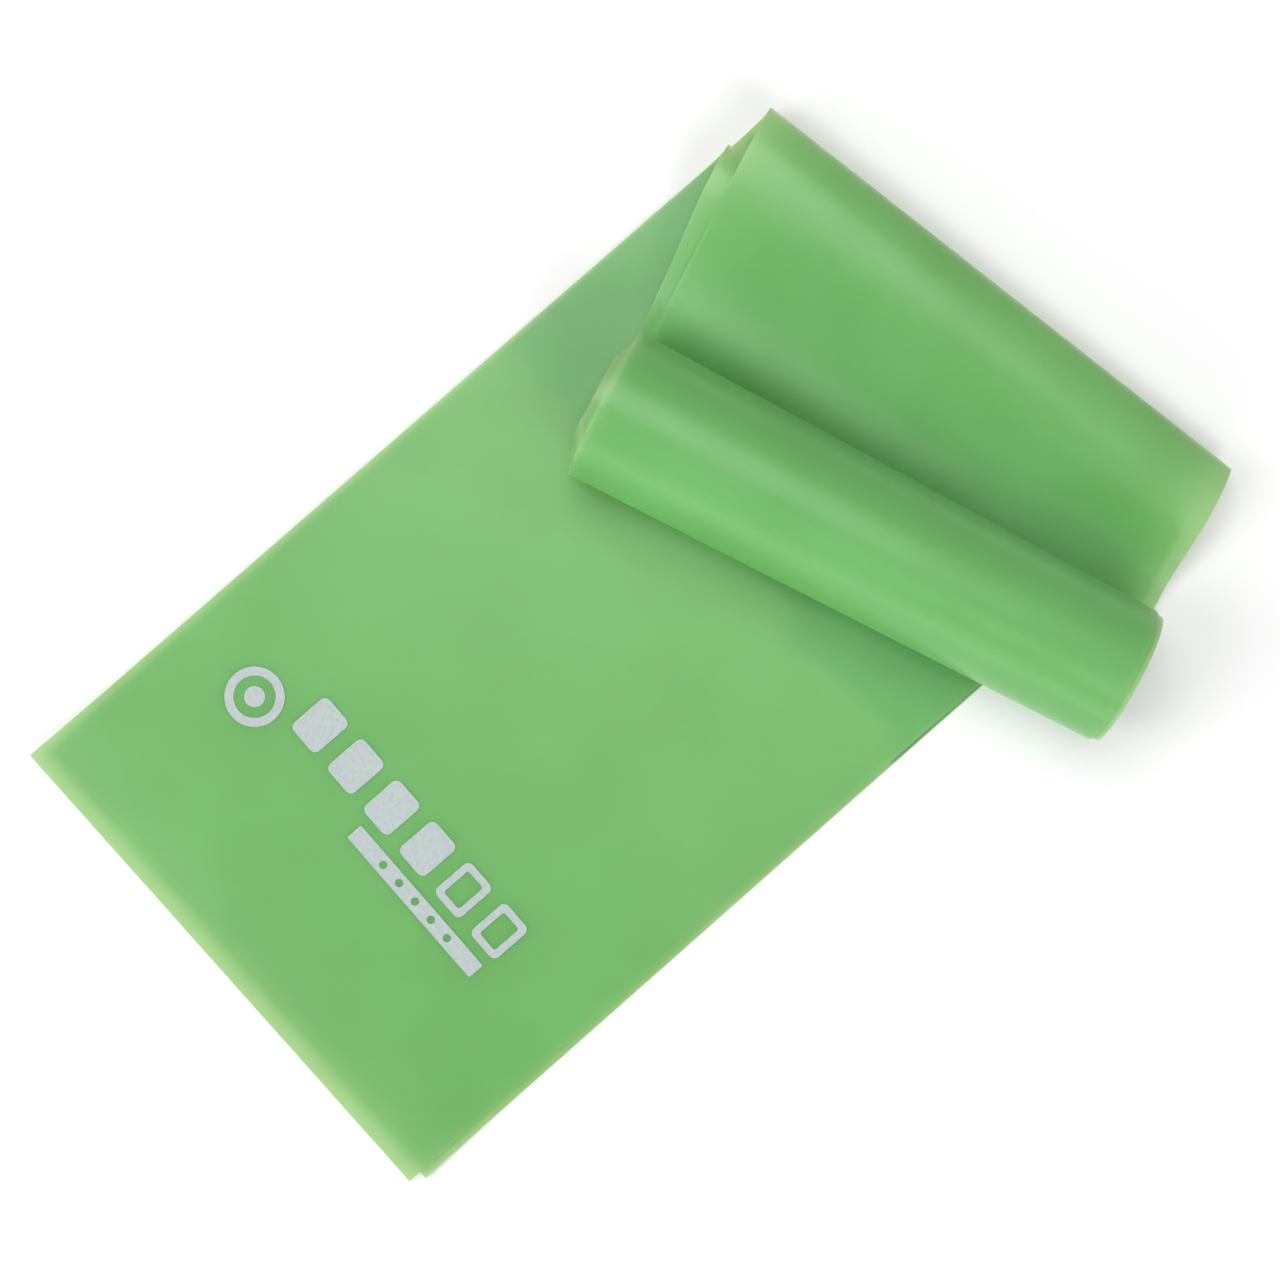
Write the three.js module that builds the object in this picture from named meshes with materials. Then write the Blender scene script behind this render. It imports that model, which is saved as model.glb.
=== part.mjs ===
// A flat latex resistance band: one two-metre strip folded double, laid flat, folded back on itself
// and rolled up from its middle, with the level mark printed in ink beside its free ends.
//
// It is drawn with X along the flat double run, from the free ends towards the fold, Y to the
// strip's left edge and Z up, in millimetres. The finished part is turned to lie square to its roll.
import * as THREE from 'three';

const degrees = Math.PI / 180;

// The strip
const bandWidth = 150;
const bandThickness = 0.5;
const airGap = 0.15;                          // between two layers that lie on each other
const layerPitch = bandThickness + airGap;    // from one layer's middle to the next one's
const halfWidth = bandWidth / 2;

// The fold, where both layers turn up and come back over themselves
const returnAngle = 21.4 * degrees;           // the returning run swings this far off the flat run
const outerFoldReach = 271.3;                 // from the free end to the outer fold, mid-strip
const innerFoldReach = 258.4;                 // the upper layer turns back sooner

// The roll, slightly fatter at its left end, so that its turns have drifted out there
const rollDistance = 75.2;                    // from the outer fold, mid-strip, to the roll's axis
const rollRadius = 20.1;                      // to the outside of the roll, where it starts
const rollTaper = 0.9;                        // added at the left end, taken off at the right end
const rollFlattening = 0.96;                  // its own weight presses it slightly oval
const rollTurns = 7.4;
const facetsPerTurn = 30;
const driftPerTurn = 0.45;                    // each turn stands out this much more at the left end

// The slope from the fold down to the roll: a shelf part way, then level where it runs under the roll
const shelfLeft = { along: 41, height: 10.5 };
const shelfRight = { along: 51, height: 3 };
const landing = 70;

// The two layers. The lower one lies on the floor, so it is outside the fold and on top of the
// returning run; that run passes under the roll, where the upper layer is outermost.
const lowerLayer = {
  foldReach: outerFoldReach,
  foldSkew: 11 * degrees,                     // its crease, off square to the strip
  loopReach: 13,
  loopRiseLeft: 8,
  loopRiseRight: 6.1,
  restHeight: bandThickness / 2,
  endSetback: 3.4,                            // its free end lies this far behind the upper one's
  endShift: -2.3,                             // and this far to the right of it
  rollShift: 0.1,
  depthInRoll: bandThickness / 2 + layerPitch,
};
const upperLayer = {
  foldReach: innerFoldReach,
  foldSkew: 12.3 * degrees,
  loopReach: 8.8,
  loopRiseLeft: 6.7,
  loopRiseRight: 4.3,
  restHeight: bandThickness / 2 + layerPitch,
  endSetback: 0,
  endShift: 0,
  rollShift: 1.9,
  depthInRoll: bandThickness / 2,
};
const endSkew = 0.8 * degrees;                // the ends aren't cut quite square

// The printed mark, on the upper layer: distances from its free end and left of its middle
const inkThickness = 0.1;
const inkLift = 0.02;
const inkCurveSegments = 14;
const badgeFromEnd = 53.5;
const badgeLeft = 48;
const badgeRadius = 8;
const badgeLine = 2.4;
const badgeDotRadius = 2.8;
const levelCount = 6;
const bandLevel = 4;
const levelHeight = 12.5;
const levelWidth = 10;
const levelSpacing = 14.4;
const levelCorner = 1.8;
const levelLine = 2;
const levelFromEnd = 61.6;
const levelRowLeft = 36;
const ruleWidth = 4.8;
const ruleLength = 49;
const ruleCorner = 0.4;
const ruleFromEnd = 50;
const ruleLeft = -20.5;
const ruleWindows = 5;
const ruleWindowSpacing = 6.4;
const ruleWindowRadius = 1.1;

// Where the returning run's own frame sits: x along it towards the roll, y to its left edge
const returnForward = new THREE.Vector2(-Math.cos(returnAngle), -Math.sin(returnAngle));
const returnLeft = new THREE.Vector2(-Math.sin(returnAngle), Math.cos(returnAngle));

const upperTop = upperLayer.restHeight + bandThickness / 2;

const baseSteps = 4;
const loopSteps = 20;
const descentSteps = 14;
const tuckStation = 5;                        // from here down the upper layer follows the lower one
const tuckSteps = 4;
const landingSteps = 10;
const coreSteps = 8;
const coreLoopStretch = 2;

// The roll's outer radius and the height of its axis, at its left end (side 1) or right end (-1)
function rollRadiusAt(side) {
  return rollRadius + side * rollTaper;
}

function rollHeightAt(side) {
  return upperTop + airGap + rollFlattening * rollRadiusAt(side);
}

// A point of the returning run: along, left, up
function onReturn(along, left, height) {
  return new THREE.Vector3(
    outerFoldReach + returnForward.x * along + returnLeft.x * left,
    returnForward.y * along + returnLeft.y * left,
    height,
  );
}

// The long flat run of one edge, up to where the fold begins
function flatRun(layer, side, foldStart) {
  const points = [];
  const endX = layer.endSetback - side * halfWidth * Math.tan(endSkew);
  const endY = layer.endShift + side * halfWidth;
  for (let step = 0; step < baseSteps; step += 1) {
    const t = step / baseSteps;
    const x = THREE.MathUtils.lerp(endX, foldStart.x, t);
    const y = THREE.MathUtils.lerp(endY, foldStart.y, t);
    points.push(new THREE.Vector3(x, y, layer.restHeight));
  }
  return points;
}

// The fold of one edge: half an ellipse seen from the side, a sharp corner seen from above
function foldLoop(layer, rise, apex, reach) {
  const points = [];
  for (let step = 0; step <= loopSteps; step += 1) {
    const turn = Math.PI * step / loopSteps;
    const inward = reach * (1 - Math.sin(turn));
    const height = layer.restHeight + rise * (1 - Math.cos(turn));
    const returning = turn > Math.PI / 2;
    const x = apex.x + inward * (returning ? returnForward.x : -1);
    const y = apex.y + inward * (returning ? returnForward.y : 0);
    points.push(new THREE.Vector3(x, y, height));
  }
  return points;
}

// A cubic curve between two points with the given end directions
function smoothCurve(start, startDirection, end, endDirection, steps) {
  const span = start.distanceTo(end) / 3;
  const curve = new THREE.CubicBezierCurve3(
    start,
    start.clone().addScaledVector(startDirection, span),
    end.clone().addScaledVector(endDirection, -span),
    end,
  );
  return curve.getPoints(steps).slice(1);
}

// The turns of one edge in the roll, from the lowest point of its outside, under the far side and up
function rollTurnsOf(layer, side) {
  const points = [];
  const count = rollTurns * facetsPerTurn;
  for (let step = 0; step <= count; step += 1) {
    const turns = step / facetsPerTurn;
    const angle = 2 * Math.PI * turns;
    const radius = rollRadiusAt(side) - layer.depthInRoll - 2 * layerPitch * turns;
    const shift = layer.rollShift + driftPerTurn * turns;
    const along = rollDistance + radius * Math.sin(angle);
    const height = rollHeightAt(side) - rollFlattening * radius * Math.cos(angle);
    points.push(onReturn(along, side * halfWidth + shift, height));
  }
  return points;
}

// One edge of one layer, from its free end to the top of its fold
function foldedPart(layer, side) {
  const apex = new THREE.Vector2(
    layer.foldReach - side * halfWidth * Math.tan(layer.foldSkew),
    side * halfWidth,
  );
  const rise = side > 0 ? layer.loopRiseLeft : layer.loopRiseRight;
  const reach = layer.loopReach / Math.cos(layer.foldSkew);
  const foldStart = new THREE.Vector2(apex.x - reach, apex.y);
  return [...flatRun(layer, side, foldStart), ...foldLoop(layer, rise, apex, reach)];
}

// The lower layer's run from the top of its fold, over the shelf, to its place under the roll
function slopeToRoll(side, start) {
  const left = side * halfWidth + lowerLayer.rollShift;
  const shelf = side > 0 ? shelfLeft : shelfRight;
  const middle = onReturn(shelf.along, left, shelf.height);
  const depth = rollFlattening * (rollRadiusAt(side) - lowerLayer.depthInRoll);
  const end = onReturn(landing, left, rollHeightAt(side) - depth);
  const ahead = new THREE.Vector3(returnForward.x, returnForward.y, 0);
  const level = new THREE.Vector3().subVectors(middle, start).setZ(0).normalize();
  return [
    ...smoothCurve(start, level, middle, ahead, descentSteps),
    ...smoothCurve(middle, ahead, end, ahead, landingSteps),
  ];
}

// The upper layer's run: from the top of its own, smaller fold it tucks in close beneath the
// lower layer's run and follows that down
function slopeBeneath(side, start, covering) {
  const leftward = new THREE.Vector3(returnLeft.x, returnLeft.y, 0);
  const last = covering.length - 1;
  const firstPoint = covering[tuckStation];
  const firstShift = new THREE.Vector3().subVectors(start, firstPoint).dot(leftward);
  const lastShift = upperLayer.rollShift - lowerLayer.rollShift;
  const forwardAt = (station) => new THREE.Vector3()
    .subVectors(covering[Math.min(station + 1, last)], covering[station - 1])
    .normalize();

  const followed = [];
  for (let station = tuckStation; station <= last; station += 1) {
    const down = new THREE.Vector3().crossVectors(forwardAt(station), leftward).normalize();
    const progress = (station - tuckStation) / (last - tuckStation);
    const shift = THREE.MathUtils.lerp(firstShift, lastShift, progress);
    const point = covering[station].clone().addScaledVector(down, layerPitch);
    followed.push(point.addScaledVector(leftward, shift));
  }
  const ahead = new THREE.Vector3(returnForward.x, returnForward.y, 0);
  const tuck = smoothCurve(start, ahead, followed[0], forwardAt(tuckStation), tuckSteps);
  return [...tuck, ...followed.slice(1)];
}

// One long edge of one layer, from its free end to the middle of the roll; side is 1 left, -1 right
function layerEdge(layer, side) {
  const lowerFold = foldedPart(lowerLayer, side);
  const lowerRun = slopeToRoll(side, lowerFold[lowerFold.length - 1]);
  if (layer === lowerLayer) {
    return [...lowerFold, ...lowerRun, ...rollTurnsOf(layer, side)];
  }
  const fold = foldedPart(layer, side);
  const run = slopeBeneath(side, fold[fold.length - 1], lowerRun);
  return [...fold, ...run, ...rollTurnsOf(layer, side)];
}

// The tight loop at the strip's middle, in the roll's core, which joins the two layers
function coreLoop(side) {
  const points = [];
  const angle = 2 * Math.PI * rollTurns;
  const loopRadius = layerPitch / 2;
  const outerRadius = rollRadiusAt(side) - upperLayer.depthInRoll - 2 * layerPitch * rollTurns;
  const middleRadius = outerRadius - loopRadius;
  for (let step = 1; step < coreSteps; step += 1) {
    const turn = Math.PI * step / coreSteps;
    const radius = middleRadius + loopRadius * Math.cos(turn);
    const onward = coreLoopStretch * loopRadius * Math.sin(turn);
    const along = rollDistance + radius * Math.sin(angle) + onward * Math.cos(angle);
    const rise = onward * Math.sin(angle) - radius * Math.cos(angle);
    const height = rollHeightAt(side) + rollFlattening * rise;
    const layerShift = THREE.MathUtils.lerp(upperLayer.rollShift, lowerLayer.rollShift, step / coreSteps);
    const shift = layerShift + driftPerTurn * rollTurns;
    points.push(onReturn(along, side * halfWidth + shift, height));
  }
  return points;
}

// Both edges of the whole strip, from the upper layer's free end to the lower layer's
function stripEdge(side) {
  const upper = layerEdge(upperLayer, side);
  const lower = layerEdge(lowerLayer, side).reverse();
  return [...upper, ...coreLoop(side), ...lower];
}

// A closed sheet of even thickness between its left and right edges
function sheetSolid(leftEdge, rightEdge, thickness) {
  const last = leftEdge.length - 1;
  const positions = [];
  const indices = [];
  leftEdge.forEach((_, station) => {
    const before = Math.max(station - 1, 0);
    const after = Math.min(station + 1, last);
    const across = new THREE.Vector3().subVectors(rightEdge[station], leftEdge[station]);
    for (const edge of [leftEdge, rightEdge]) {
      const forward = new THREE.Vector3().subVectors(edge[after], edge[before]);
      const normal = new THREE.Vector3().crossVectors(across, forward).setLength(thickness / 2);
      positions.push(...edge[station].clone().add(normal).toArray());
      positions.push(...edge[station].clone().sub(normal).toArray());
    }
  });
  const quad = (a, b, c, d) => indices.push(a, b, c, a, c, d);
  for (let station = 0; station < last; station += 1) {
    const here = 4 * station;
    const next = here + 4;
    quad(here, here + 2, next + 2, next);             // upper face
    quad(here + 1, next + 1, next + 3, here + 3);     // lower face
    quad(here, next, next + 1, here + 1);             // left edge
    quad(here + 2, here + 3, next + 3, next + 2);     // right edge
  }
  quad(0, 1, 3, 2);
  const end = 4 * last;
  quad(end, end + 2, end + 3, end + 1);
  const geometry = new THREE.BufferGeometry();
  geometry.setAttribute('position', new THREE.Float32BufferAttribute(positions, 3));
  geometry.setIndex(indices);
  geometry.computeVertexNormals();
  return geometry;
}

const latex = new THREE.MeshStandardMaterial({ color: 0x64b159, roughness: 0.45, metalness: 0 });
const ink = new THREE.MeshStandardMaterial({ color: 0xd2dddc, roughness: 0.6, metalness: 0 });

const part = new THREE.Group();
part.name = 'resistance_band';

const band = new THREE.Mesh(sheetSolid(stripEdge(1), stripEdge(-1), bandThickness), latex);
band.name = 'band';
part.add(band);

// An outline drawn as a round-cornered rectangle about its own centre
function roundedRectangle(outline, width, height, radius) {
  const x = width / 2;
  const y = height / 2;
  outline.moveTo(x - radius, -y);
  outline.absarc(x - radius, radius - y, radius, -Math.PI / 2, 0);
  outline.absarc(x - radius, y - radius, radius, 0, Math.PI / 2);
  outline.absarc(radius - x, y - radius, radius, Math.PI / 2, Math.PI);
  outline.absarc(radius - x, radius - y, radius, Math.PI, 1.5 * Math.PI);
  outline.closePath();
  return outline;
}

// A patch of ink on the upper layer, centred a distance from the free end and left of the middle
function printPatch(name, shape, fromEnd, leftOfMiddle) {
  const geometry = new THREE.ExtrudeGeometry(shape, {
    depth: inkThickness,
    bevelEnabled: false,
    curveSegments: inkCurveSegments,
  });
  const patch = new THREE.Mesh(geometry, ink);
  patch.name = name;
  patch.position.set(fromEnd, leftOfMiddle, upperTop + inkLift);
  part.add(patch);
}

// The badge: a ring with a dot in it
function printBadge() {
  const ring = new THREE.Shape().absarc(0, 0, badgeRadius, 0, 2 * Math.PI);
  ring.holes.push(new THREE.Path().absarc(0, 0, badgeRadius - badgeLine, 0, 2 * Math.PI));
  printPatch('print_badge_ring', ring, badgeFromEnd, badgeLeft);
  const dot = new THREE.Shape().absarc(0, 0, badgeDotRadius, 0, 2 * Math.PI);
  printPatch('print_badge_dot', dot, badgeFromEnd, badgeLeft);
}

// The resistance level: a row of boxes, filled up to the band's own level and open beyond it
function printLevels() {
  for (let level = 1; level <= levelCount; level += 1) {
    const box = roundedRectangle(new THREE.Shape(), levelHeight, levelWidth, levelCorner);
    if (level > bandLevel) {
      const inner = roundedRectangle(
        new THREE.Path(),
        levelHeight - 2 * levelLine,
        levelWidth - 2 * levelLine,
        levelCorner - levelLine / 2,
      );
      box.holes.push(inner);
    }
    const left = levelRowLeft - levelWidth / 2 - (level - 1) * levelSpacing;
    printPatch(`print_level_${level}`, box, levelFromEnd, left);
  }
}

// The rule under the levels, with a row of small round windows in it
function printRule() {
  const rule = roundedRectangle(new THREE.Shape(), ruleWidth, ruleLength, ruleCorner);
  for (let window = 0; window < ruleWindows; window += 1) {
    const offset = (window - (ruleWindows - 1) / 2) * ruleWindowSpacing;
    rule.holes.push(new THREE.Path().absarc(0, offset, ruleWindowRadius, 0, 2 * Math.PI));
  }
  printPatch('print_rule', rule, ruleFromEnd, ruleLeft);
}

printBadge();
printLevels();
printRule();

// The roll lies along Y, and the origin is under the middle of everything, on the supporting surface
part.rotation.z = -returnAngle;
const box = new THREE.Box3().setFromObject(part, true);
part.position.set(-(box.min.x + box.max.x) / 2, -(box.min.y + box.max.y) / 2, -box.min.z);

export default part;
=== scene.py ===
"""A flat latex resistance band, folded double, folded back on itself and rolled up from its middle.

The CAD frame gives where the strip lies. The band's fine sheet is built here in millimetres, in the
same way as its CAD solid: a left and a right edge curve, with the latex drawn straight between them.
It is drawn with X from the free ends towards the fold, Y to the strip's left edge and Z up, and then
turned into the part's own frame. It differs from the CAD solid in three small ways: its free ends
curl up a little, its shelf stays level a little longer, and it is divided more finely.
"""

import math

import bpy
import numpy as np
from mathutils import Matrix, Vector


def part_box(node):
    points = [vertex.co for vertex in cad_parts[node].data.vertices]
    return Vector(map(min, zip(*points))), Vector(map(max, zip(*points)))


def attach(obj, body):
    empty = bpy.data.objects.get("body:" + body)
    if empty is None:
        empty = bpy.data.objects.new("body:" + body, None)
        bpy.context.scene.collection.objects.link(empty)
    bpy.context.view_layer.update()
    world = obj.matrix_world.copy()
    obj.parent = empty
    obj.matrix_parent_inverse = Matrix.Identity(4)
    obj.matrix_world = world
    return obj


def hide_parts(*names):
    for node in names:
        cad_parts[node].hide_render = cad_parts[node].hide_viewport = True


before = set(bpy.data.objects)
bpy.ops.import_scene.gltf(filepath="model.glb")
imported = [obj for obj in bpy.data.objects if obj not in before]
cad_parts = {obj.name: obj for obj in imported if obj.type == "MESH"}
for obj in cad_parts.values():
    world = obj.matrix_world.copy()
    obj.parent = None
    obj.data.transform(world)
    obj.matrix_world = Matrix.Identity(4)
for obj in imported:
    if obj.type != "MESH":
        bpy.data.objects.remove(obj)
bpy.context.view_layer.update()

MM = 0.001

# ---------------------------------------------------------------- the strip, in millimetres
BAND_WIDTH = 150.0
BAND_THICKNESS = 0.5
AIR_GAP = 0.15
LAYER_PITCH = BAND_THICKNESS + AIR_GAP
HALF_WIDTH = BAND_WIDTH / 2
END_SKEW = math.radians(0.8)

# the curl of a free end dies away over this run, this abruptly
END_LIFT_RUN = 14.0
END_LIFT_SHARPNESS = 1.5

# wherever there are two values, key 1 is the strip's left edge and key -1 its right edge

# the fold, and the run that comes back from it
RETURN_ANGLE = math.radians(21.4)
OUTER_FOLD_REACH = 271.3

# the roll, slightly fatter at its left end than at its right end; its axis lies this far beyond the
# fold, and each turn stands out a little more than the last at the left end
ROLL_DISTANCE = 75.2
ROLL_RADIUS = {1: 21.0, -1: 19.2}
ROLL_FLATTENING = 0.96
ROLL_TURNS = 7.4
DRIFT_PER_TURN = 0.45

# the slope from the fold's hump down to the roll: a shelf part way, then level under the roll
SHELF_ALONG = {1: 41.0, -1: 51.0}
SHELF_HEIGHT = {1: 10.5, -1: 3.0}
SHELF_HOLD = 0.55
LANDING = 70.0

# the station of that slope from which the upper layer follows closely beneath the lower one
TUCK_STATION = 14

# the lower layer lies on the floor, so it is outside the fold and on top of the returning run
LOWER_LAYER = {
    "fold_reach": OUTER_FOLD_REACH,
    "fold_skew": math.radians(11.0),
    "loop_reach": {1: 13.0, -1: 13.0},
    "loop_rise": {1: 8.0, -1: 6.1},
    "rest_height": BAND_THICKNESS / 2,
    "end_setback": 3.4,
    "end_shift": -2.3,
    "end_lift": {1: 1.0, -1: 1.6},
    "roll_shift": 0.1,
    "depth_in_roll": BAND_THICKNESS / 2 + LAYER_PITCH,
}
UPPER_LAYER = {
    "fold_reach": 258.4,
    "fold_skew": math.radians(12.3),
    "loop_reach": {1: 8.8, -1: 8.8},
    "loop_rise": {1: 6.7, -1: 4.3},
    "rest_height": BAND_THICKNESS / 2 + LAYER_PITCH,
    "end_setback": 0.0,
    "end_shift": 0.0,
    "end_lift": {1: 1.8, -1: 2.8},
    "roll_shift": 1.9,
    "depth_in_roll": BAND_THICKNESS / 2,
}

# how finely the sheet is drawn; the roll's first turns are in sight, so they are the finest
FLAT_STEPS = 60
LOOP_STEPS = 48
DESCENT_STEPS = 40
LANDING_STEPS = 30
TUCK_STEPS = 8
OUTER_TURN_STEPS = 72
INNER_TURN_STEPS = 40
FINE_TURNS = 1.25
CORE_STEPS = 12
CORE_STRETCH = 2.0
ACROSS_STEPS = 24

# ---------------------------------------------------------------- where the strip lies in the frame
# the middle of the printed badge, measured from the free end's middle, is found again in the frame
BADGE_FROM_END = 53.5
BADGE_LEFT = 48.0
badge_low, badge_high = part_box("print_badge_ring")


def turned(points):
    """The frame lies square to the roll, so the flat run is swung off its X axis."""
    points = np.asarray(points, float)
    x, y = points[..., 0], points[..., 1]
    across = x * math.cos(RETURN_ANGLE) + y * math.sin(RETURN_ANGLE)
    along = y * math.cos(RETURN_ANGLE) - x * math.sin(RETURN_ANGLE)
    return np.stack([across, along, points[..., 2]], -1)


BADGE = turned((BADGE_FROM_END, BADGE_LEFT, 0.0))
FREE_END = np.array([
    (badge_low[0] + badge_high[0]) / 2 / MM - BADGE[0],
    (badge_low[1] + badge_high[1]) / 2 / MM - BADGE[1],
    0.0,
])


def to_frame(points):
    """Millimetres measured from the free end's middle, as metres in the part's frame."""
    return (turned(points) + FREE_END) * MM


# ---------------------------------------------------------------- the edge curves
FORWARD = np.array([-math.cos(RETURN_ANGLE), -math.sin(RETURN_ANGLE)])
LEFTWARD = np.array([-math.sin(RETURN_ANGLE), math.cos(RETURN_ANGLE)])
AHEAD = np.array([*FORWARD, 0.0])
UPPER_TOP = UPPER_LAYER["rest_height"] + BAND_THICKNESS / 2
ROLL_HEIGHT = {
    side: UPPER_TOP + AIR_GAP + ROLL_FLATTENING * radius for side, radius in ROLL_RADIUS.items()
}


def on_return(along, left, height):
    """A point of the returning run: along it towards the roll, to its left, and up."""
    x, y = FORWARD * along + LEFTWARD * left
    return np.array([OUTER_FOLD_REACH + x, y, height])


def flat_run(layer, side, fold_start):
    """One edge of one layer on the floor; its stations crowd towards the free end, where it curls."""
    start = np.array([
        layer["end_setback"] - side * HALF_WIDTH * math.tan(END_SKEW),
        layer["end_shift"] + side * HALF_WIDTH,
    ])
    points = []
    for step in range(FLAT_STEPS):
        t = (step / FLAT_STEPS) ** 2
        x, y = start + (fold_start - start) * t
        faded = ((x - start[0]) / END_LIFT_RUN) ** END_LIFT_SHARPNESS
        lift = layer["end_lift"][side] * math.exp(-faded)
        points.append(np.array([x, y, layer["rest_height"] + lift]))
    return points


def fold_loop(layer, side, apex, reach):
    """Half an ellipse seen from the side, a sharp corner seen from above."""
    points = []
    for step in range(LOOP_STEPS + 1):
        turn = math.pi * step / LOOP_STEPS
        inward = reach * (1 - math.sin(turn))
        height = layer["rest_height"] + layer["loop_rise"][side] * (1 - math.cos(turn))
        direction = FORWARD if turn > math.pi / 2 else np.array([-1.0, 0.0])
        x, y = apex + direction * inward
        points.append(np.array([x, y, height]))
    return points


def smooth_curve(start, start_direction, end, end_direction, steps, hold=1 / 3):
    """A cubic curve; hold is how far it keeps to its start direction, as a share of the distance."""
    distance = np.linalg.norm(end - start)
    a = start + start_direction * distance * hold
    b = end - end_direction * distance / 3
    points = []
    for step in range(1, steps + 1):
        t = step / steps
        s = 1 - t
        points.append(s**3 * start + 3 * s * s * t * a + 3 * s * t * t * b + t**3 * end)
    return points


def roll_turn_marks():
    """How many turns have been made at each station of the roll."""
    fine = np.arange(int(FINE_TURNS * OUTER_TURN_STEPS)) / OUTER_TURN_STEPS
    rest = int(round((ROLL_TURNS - FINE_TURNS) * INNER_TURN_STEPS))
    return list(fine) + list(FINE_TURNS + np.arange(rest + 1) / INNER_TURN_STEPS)


def roll_turns(layer, side):
    """One edge of one layer in the roll, from the roll's lowest point, under its far side and up."""
    points = []
    for turns in roll_turn_marks():
        angle = 2 * math.pi * turns
        radius = ROLL_RADIUS[side] - layer["depth_in_roll"] - 2 * LAYER_PITCH * turns
        shift = layer["roll_shift"] + DRIFT_PER_TURN * turns
        along = ROLL_DISTANCE + radius * math.sin(angle)
        height = ROLL_HEIGHT[side] - ROLL_FLATTENING * radius * math.cos(angle)
        points.append(on_return(along, side * HALF_WIDTH + shift, height))
    return points


def folded_part(layer, side):
    """One edge of one layer, from its free end to the top of its fold."""
    apex = np.array([
        layer["fold_reach"] - side * HALF_WIDTH * math.tan(layer["fold_skew"]),
        side * HALF_WIDTH,
    ])
    reach = layer["loop_reach"][side] / math.cos(layer["fold_skew"])
    fold_start = apex - (reach, 0.0)
    return flat_run(layer, side, fold_start) + fold_loop(layer, side, apex, reach)


def slope_to_roll(side, start):
    """The lower layer's run from the top of its fold, over the shelf, to its place under the roll."""
    left = side * HALF_WIDTH + LOWER_LAYER["roll_shift"]
    shelf = on_return(SHELF_ALONG[side], left, SHELF_HEIGHT[side])
    depth = ROLL_FLATTENING * (ROLL_RADIUS[side] - LOWER_LAYER["depth_in_roll"])
    landing = on_return(LANDING, left, ROLL_HEIGHT[side] - depth)
    level = (shelf - start) * (1, 1, 0)
    level = level / np.linalg.norm(level)
    descent = smooth_curve(start, level, shelf, AHEAD, DESCENT_STEPS)
    return descent + smooth_curve(shelf, AHEAD, landing, AHEAD, LANDING_STEPS, hold=SHELF_HOLD)


def slope_beneath(start, covering):
    """The upper layer's run: from its own, smaller fold it tucks in close beneath the other's."""
    covering = np.array(covering)
    forward = np.gradient(covering, axis=0)
    forward /= np.linalg.norm(forward, axis=1, keepdims=True)
    down = np.cross(forward, [*LEFTWARD, 0.0])
    beneath = (covering + down * LAYER_PITCH)[TUCK_STATION:]
    first = (start - beneath[0]) @ [*LEFTWARD, 0.0]
    last = UPPER_LAYER["roll_shift"] - LOWER_LAYER["roll_shift"]
    offsets = np.linspace(first, last, len(beneath))
    beneath = beneath + offsets[:, None] * [*LEFTWARD, 0.0]
    tuck = smooth_curve(start, AHEAD, beneath[0], forward[TUCK_STATION], TUCK_STEPS)
    return tuck + list(beneath[1:])


def layer_edge(layer, side):
    """One long edge of one layer, from its free end to the middle of the roll."""
    lower_fold = folded_part(LOWER_LAYER, side)
    lower_run = slope_to_roll(side, lower_fold[-1])
    if layer is LOWER_LAYER:
        return lower_fold + lower_run + roll_turns(layer, side)
    fold = folded_part(layer, side)
    return fold + slope_beneath(fold[-1], lower_run) + roll_turns(layer, side)


def core_loop(side):
    """The tight loop at the strip's middle, which joins the two layers."""
    angle = 2 * math.pi * ROLL_TURNS
    loop_radius = LAYER_PITCH / 2
    outermost = ROLL_RADIUS[side] - UPPER_LAYER["depth_in_roll"]
    middle = outermost - loop_radius - 2 * LAYER_PITCH * ROLL_TURNS
    upper_shift = UPPER_LAYER["roll_shift"]
    points = []
    for step in range(1, CORE_STEPS):
        turn = math.pi * step / CORE_STEPS
        radius = middle + loop_radius * math.cos(turn)
        onward = CORE_STRETCH * loop_radius * math.sin(turn)
        along = ROLL_DISTANCE + radius * math.sin(angle) + onward * math.cos(angle)
        rise = onward * math.sin(angle) - radius * math.cos(angle)
        shift = upper_shift + (LOWER_LAYER["roll_shift"] - upper_shift) * step / CORE_STEPS
        shift += DRIFT_PER_TURN * ROLL_TURNS
        height = ROLL_HEIGHT[side] + ROLL_FLATTENING * rise
        points.append(on_return(along, side * HALF_WIDTH + shift, height))
    return points


def strip_edge(side):
    """One long edge of the whole strip, from the upper layer's free end to the lower layer's."""
    lower = layer_edge(LOWER_LAYER, side)[::-1]
    return np.array(layer_edge(UPPER_LAYER, side) + core_loop(side) + lower)


# ---------------------------------------------------------------- the fine sheet
SHARP_EDGE = math.radians(50)


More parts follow.
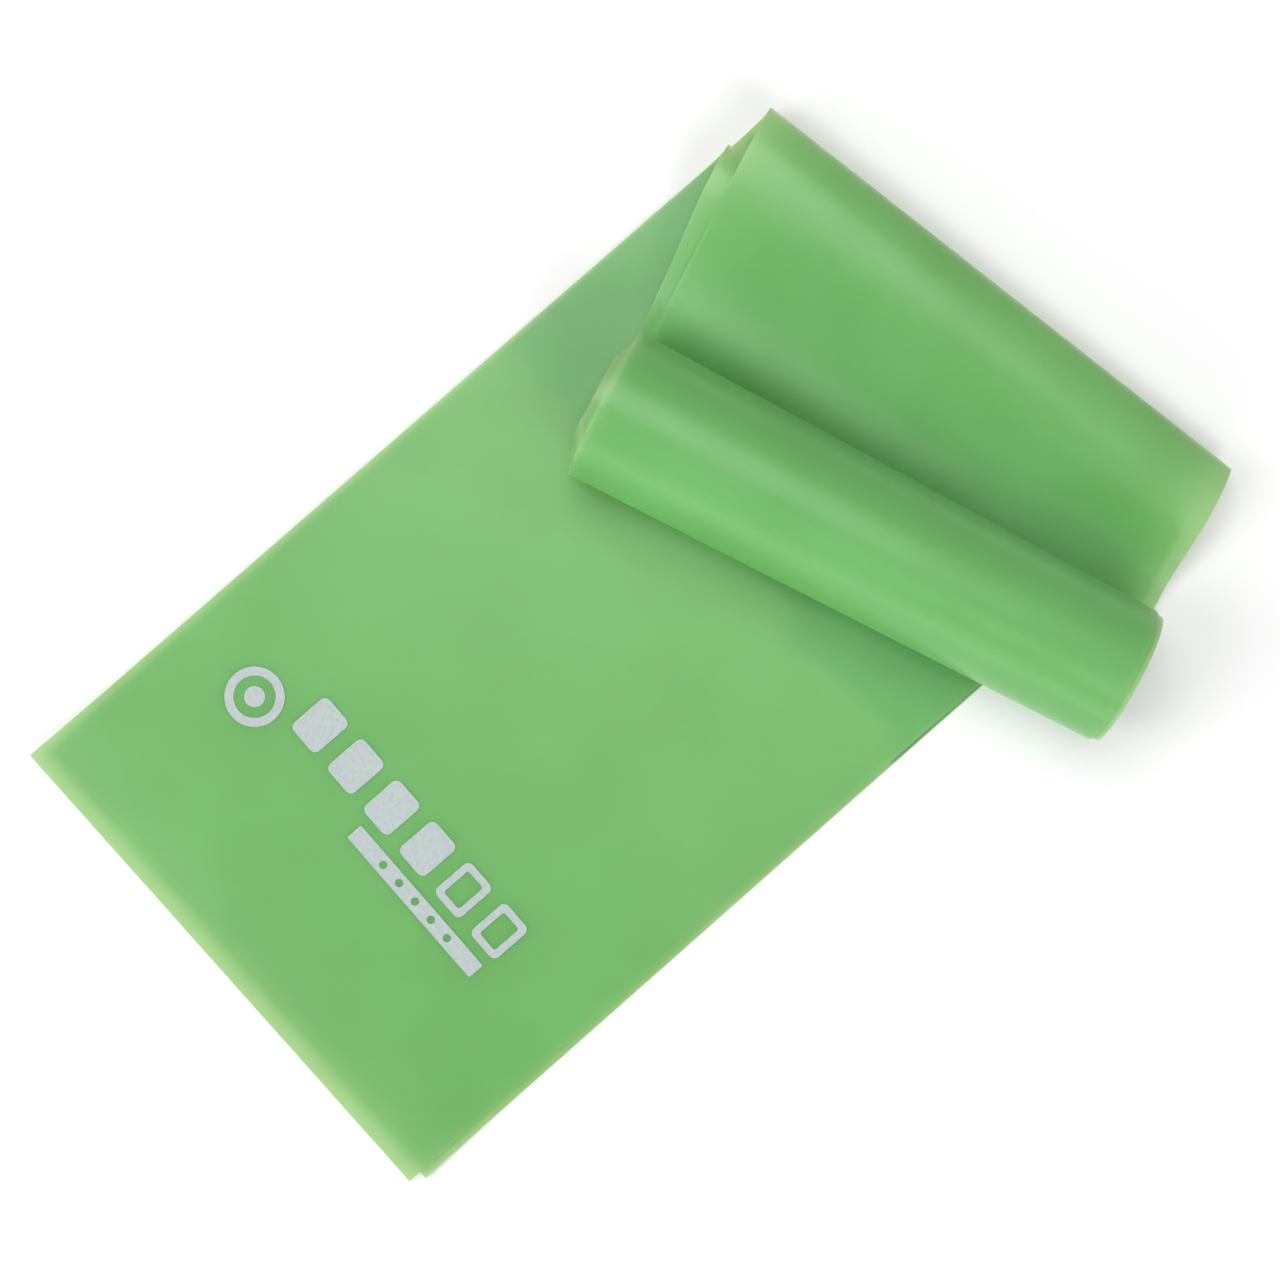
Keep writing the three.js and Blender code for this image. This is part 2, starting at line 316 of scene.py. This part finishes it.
def sheet_mesh(name, left_edge, right_edge):
    """A closed sheet of even thickness between two edge curves, with the strip's own coordinates."""
    stations = len(left_edge)
    columns = ACROSS_STEPS + 1
    u = np.linspace(0, 1, columns)
    middle = left_edge[:, None] * (1 - u)[None, :, None] + right_edge[:, None] * u[None, :, None]
    forward = np.gradient(middle, axis=0)
    across = np.gradient(middle, axis=1)
    normal = np.cross(across, forward)
    normal /= np.linalg.norm(normal, axis=2, keepdims=True)
    upper = middle + normal * BAND_THICKNESS / 2
    lower = middle - normal * BAND_THICKNESS / 2
    verts = np.concatenate([to_frame(upper.reshape(-1, 3)), to_frame(lower.reshape(-1, 3))])

    back = stations * columns
    grid = np.arange(stations * columns).reshape(stations, columns)
    a, b = grid[:-1, :-1].ravel(), grid[:-1, 1:].ravel()
    c, d = grid[1:, 1:].ravel(), grid[1:, :-1].ravel()
    faces = np.stack([a, b, c, d], 1).tolist()
    faces += (np.stack([a, d, c, b], 1) + back).tolist()
    for i in range(stations - 1):
        p, q = grid[i, 0], grid[i + 1, 0]
        faces.append([p, q, q + back, p + back])
        p, q = grid[i, -1], grid[i + 1, -1]
        faces.append([p, p + back, q + back, q])
    for j in range(columns - 1):
        p, q = grid[0, j], grid[0, j + 1]
        faces.append([p, p + back, q + back, q])
        p, q = grid[-1, j], grid[-1, j + 1]
        faces.append([p, q, q + back, p + back])

    mesh = bpy.data.meshes.new(name)
    mesh.from_pydata(verts.tolist(), [], faces)
    steps = np.linalg.norm(np.diff(middle[:, columns // 2], axis=0), axis=1)
    along = np.concatenate([[0], np.cumsum(steps)])
    strip = np.zeros((stations, columns, 3))
    strip[..., 0] = (u - 0.5) * BAND_WIDTH * MM
    strip[..., 1] = along[:, None] * MM
    strip = np.concatenate([strip.reshape(-1, 3)] * 2)
    layer = mesh.attributes.new("strip", "FLOAT_VECTOR", "POINT")
    layer.data.foreach_set("vector", strip.astype(np.float32).ravel())
    mesh.shade_smooth()
    mesh.set_sharp_from_angle(angle=SHARP_EDGE)
    mesh.update()
    sheet = bpy.data.objects.new(name, mesh)
    bpy.context.scene.collection.objects.link(sheet)
    return sheet


# ---------------------------------------------------------------- materials
def new_material(name):
    """An empty node material, with its nodes and links."""
    material = bpy.data.materials.new(name)
    material.use_nodes = True
    nodes = material.node_tree.nodes
    nodes.clear()
    return material, nodes, material.node_tree.links


def ramp(nodes, stops):
    """A colour ramp with a colour at each given position."""
    node = nodes.new("ShaderNodeValToRGB")
    elements = node.color_ramp.elements
    while len(elements) < len(stops):
        elements.new(0.5)
    for element, (position, colour) in zip(elements, stops):
        element.position = position
        element.color = (*colour, 1.0)
    return node


def latex_material():
    """Satin latex: it reflects green, and lets a yellower green through."""
    material, nodes, links = new_material("latex_satin")
    output = nodes.new("ShaderNodeOutputMaterial")
    surface = nodes.new("ShaderNodeBsdfPrincipled")
    through = nodes.new("ShaderNodeBsdfTranslucent")
    both = nodes.new("ShaderNodeAddShader")
    links.new(surface.outputs["BSDF"], both.inputs[0])
    links.new(through.outputs["BSDF"], both.inputs[1])
    links.new(both.outputs["Shader"], output.inputs["Surface"])

    strip = nodes.new("ShaderNodeAttribute")
    strip.attribute_name = "strip"

    cloud = nodes.new("ShaderNodeTexNoise")
    cloud.inputs["Scale"].default_value = 28.0
    cloud.inputs["Detail"].default_value = 4.0
    links.new(strip.outputs["Vector"], cloud.inputs["Vector"])
    green = ramp(nodes, [(0.35, (0.064, 0.256, 0.070)), (0.65, (0.073, 0.280, 0.083))])
    links.new(cloud.outputs["Fac"], green.inputs["Fac"])
    links.new(green.outputs["Color"], surface.inputs["Base Color"])
    through.inputs["Color"].default_value = (0.594, 0.541, 0.468, 1.0)

    haze = nodes.new("ShaderNodeTexNoise")
    haze.inputs["Scale"].default_value = 60.0
    haze.inputs["Detail"].default_value = 6.0
    links.new(strip.outputs["Vector"], haze.inputs["Vector"])
    rough = nodes.new("ShaderNodeMapRange")
    rough.inputs["To Min"].default_value = 0.29
    rough.inputs["To Max"].default_value = 0.38
    links.new(haze.outputs["Fac"], rough.inputs["Value"])
    links.new(rough.outputs["Result"], surface.inputs["Roughness"])

    grain = nodes.new("ShaderNodeTexNoise")
    grain.inputs["Scale"].default_value = 2500.0
    grain.inputs["Detail"].default_value = 3.0
    links.new(strip.outputs["Vector"], grain.inputs["Vector"])
    bump = nodes.new("ShaderNodeBump")
    bump.inputs["Strength"].default_value = 0.05
    bump.inputs["Distance"].default_value = 0.0001
    links.new(grain.outputs["Fac"], bump.inputs["Height"])
    links.new(bump.outputs["Normal"], surface.inputs["Normal"])
    return material


def ink_material():
    """Screen ink: a thin, faintly mottled pale grey."""
    material, nodes, links = new_material("screen_ink")
    output = nodes.new("ShaderNodeOutputMaterial")
    surface = nodes.new("ShaderNodeBsdfPrincipled")
    links.new(surface.outputs["BSDF"], output.inputs["Surface"])
    place = nodes.new("ShaderNodeTexCoord")
    mottle = nodes.new("ShaderNodeTexNoise")
    mottle.inputs["Scale"].default_value = 900.0
    mottle.inputs["Detail"].default_value = 4.0
    links.new(place.outputs["Object"], mottle.inputs["Vector"])
    grey = ramp(nodes, [(0.3, (0.42, 0.49, 0.48)), (0.7, (0.50, 0.56, 0.56))])
    links.new(mottle.outputs["Fac"], grey.inputs["Fac"])
    links.new(grey.outputs["Color"], surface.inputs["Base Color"])
    surface.inputs["Roughness"].default_value = 0.55
    return material


def floor_material():
    """Plain matt white."""
    material, nodes, links = new_material("floor_white")
    output = nodes.new("ShaderNodeOutputMaterial")
    surface = nodes.new("ShaderNodeBsdfPrincipled")
    surface.inputs["Base Color"].default_value = (0.95, 0.95, 0.95, 1.0)
    surface.inputs["Roughness"].default_value = 0.9
    surface.inputs["Specular IOR Level"].default_value = 0.1
    links.new(surface.outputs["BSDF"], output.inputs["Surface"])
    return material


# ---------------------------------------------------------------- the band and its print
band = sheet_mesh("band_sheet", strip_edge(1), strip_edge(-1))
band.data.materials.append(latex_material())
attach(band, "root")
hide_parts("band")

ink = ink_material()
for node_name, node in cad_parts.items():
    if node_name.startswith("print_"):
        node.data.materials.clear()
        node.data.materials.append(ink)

# ---------------------------------------------------------------- the floor, the lights and the camera
# all in metres, in the part's own frame
FLOOR_REACH = 3.0
floor_corners = [(x * FLOOR_REACH, y * FLOOR_REACH, 0) for x, y in ((-1, -1), (1, -1), (1, 1), (-1, 1))]
floor_mesh = bpy.data.meshes.new("floor")
floor_mesh.from_pydata(floor_corners, [], [(0, 1, 2, 3)])
floor = bpy.data.objects.new("floor", floor_mesh)
floor.data.materials.append(floor_material())
bpy.context.scene.collection.objects.link(floor)


def area_light(name, place, aim, width, length, radiance):
    """A rectangular softbox that shines from place towards aim."""
    light = bpy.data.lights.new(name, "AREA")
    light.shape = "RECTANGLE"
    light.size = width
    light.size_y = length
    light.energy = radiance * math.pi * width * length
    lamp = bpy.data.objects.new(name, light)
    lamp.location = place
    lamp.rotation_euler = (Vector(aim) - Vector(place)).to_track_quat("-Z", "Y").to_euler()
    bpy.context.scene.collection.objects.link(lamp)


# a large softbox overhead, which makes the sheen along the fold and the roll
KEY_PLACE = (0.40, 0.33, 1.25)
KEY_AIM = (0.40, 0.33, 0.0)
KEY_SIZE = (0.8, 1.0)
KEY_RADIANCE = 3.4
area_light("softbox_key", KEY_PLACE, KEY_AIM, *KEY_SIZE, KEY_RADIANCE)

# a wide, low one that lights the side of the roll towards the free ends
LOW_PLACE = (-2.4, 0.0, 0.7)
LOW_AIM = (0.0, 0.0, 0.02)
LOW_SIZE = (4.0, 1.0)
LOW_RADIANCE = 1.8
area_light("softbox_low", LOW_PLACE, LOW_AIM, *LOW_SIZE, LOW_RADIANCE)

# two fills, left and right behind the free ends
FILL_DISTANCE = 1.6
FILL_ELEVATION = math.radians(47)
FILL_BEARING = math.radians(125)
FILL_SIZE = (0.8, 0.8)
FILL_RADIANCE = 3.9
for name, bearing in (("softbox_fill_left", FILL_BEARING), ("softbox_fill_right", -FILL_BEARING)):
    level = FILL_DISTANCE * math.cos(FILL_ELEVATION)
    place = (
        level * math.cos(bearing),
        level * math.sin(bearing),
        FILL_DISTANCE * math.sin(FILL_ELEVATION),
    )
    area_light(name, place, (0, 0, 0), *FILL_SIZE, FILL_RADIANCE)

# even white light from all round
WORLD_RADIANCE = 0.27
world = bpy.data.worlds.new("studio")
world.use_nodes = True
background = world.node_tree.nodes["Background"]
background.inputs["Color"].default_value = (1, 1, 1, 1)
background.inputs["Strength"].default_value = WORLD_RADIANCE
bpy.context.scene.world = world

# the camera looks straight down
CAMERA_HEIGHT = 0.700
VIEW_WIDTH = 0.3381
VIEW_TURN = math.radians(-41.0) - RETURN_ANGLE
VIEW_CENTRE = (140.0, -7.4, 0.0)
SENSOR_WIDTH = 36.0
camera_data = bpy.data.cameras.new("camera")
camera_data.sensor_width = SENSOR_WIDTH
camera_data.lens = SENSOR_WIDTH * CAMERA_HEIGHT / VIEW_WIDTH
camera = bpy.data.objects.new("camera", camera_data)
centre = to_frame(VIEW_CENTRE)
camera.location = (centre[0], centre[1], CAMERA_HEIGHT)
camera.rotation_euler = (0, 0, VIEW_TURN)
bpy.context.scene.collection.objects.link(camera)
bpy.context.scene.camera = camera
bpy.context.scene.view_settings.view_transform = "Standard"
